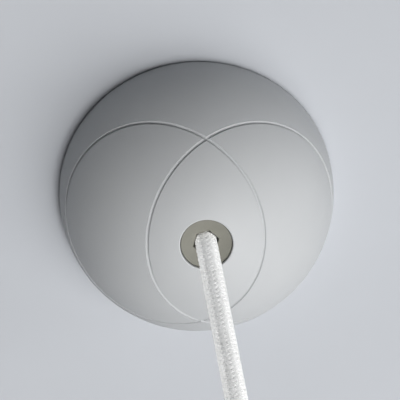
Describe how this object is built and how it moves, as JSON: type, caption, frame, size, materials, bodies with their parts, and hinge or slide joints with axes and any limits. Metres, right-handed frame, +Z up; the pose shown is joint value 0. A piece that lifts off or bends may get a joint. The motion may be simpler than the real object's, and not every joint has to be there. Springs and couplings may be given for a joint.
{
  "type": "electrical ceiling rose",
  "caption": "Domed ceiling rose that covers a lamp's wiring: a matt half-sphere canopy with crossing engraved rings, a soft bush and a braided textile flex, over a plate with terminals.",
  "frame": {"origin": "centre of the back plate's face that meets the ceiling", "axes": "+Z up into the ceiling, the flex hangs along -Z, X through the two screw slots"},
  "size_m": [0.09, 0.09, 0.2398],
  "materials": {
    "canopy_shell": "fine moulded texture, matt",
    "bush_elastomer": "soft matt elastomer",
    "textile_braid": "close braid, matt",
    "base_moulding": "moulded, matt",
    "plated_steel": "bright zinc plate",
    "nylon": "natural nylon, half matt",
    "block_polyamide": "smooth moulded",
    "brass": "turned, bare",
    "brown_pvc": "extruded, smooth",
    "blue_pvc": "extruded, smooth",
    "earth_pvc": "extruded, green with a yellow stripe",
    "tinned_copper": "tinned, crimped",
    "shrink_sleeve": "shrunk sleeve, half matt"
  },
  "bodies": {
    "fixed_rose": {"base_plate": "base_moulding", "hanger_bracket": "plated_steel", "earth_screw": "plated_steel", "earth_washer": "plated_steel", "cord_grip": "nylon", "grip_lock_nut": "nylon", "grip_set_screw": "nylon", "terminal_block": "block_polyamide", "terminal_tube_live": "brass", "terminal_tube_earth": "brass", "terminal_tube_neutral": "brass", "terminal_screws": "plated_steel", "block_screws": "plated_steel", "live_core": "brown_pvc", "neutral_core": "blue_pvc", "earth_core": "earth_pvc", "core_ferrules": "tinned_copper", "braid_sleeve": "shrink_sleeve", "cord": "textile_braid", "tail_sleeve": "shrink_sleeve", "tail_live_core": "brown_pvc", "tail_neutral_core": "blue_pvc", "tail_earth_core": "earth_pvc", "tail_ferrules": "tinned_copper"},
    "canopy": {"canopy": "canopy_shell", "cord_bush": "bush_elastomer"}
  },
  "joints": [
    {"name": "canopy_slide", "type": "slide", "parent": "fixed_rose", "child": "canopy", "axis": [0, 0, -1], "range_m": [0, 0.12]}
  ]
}
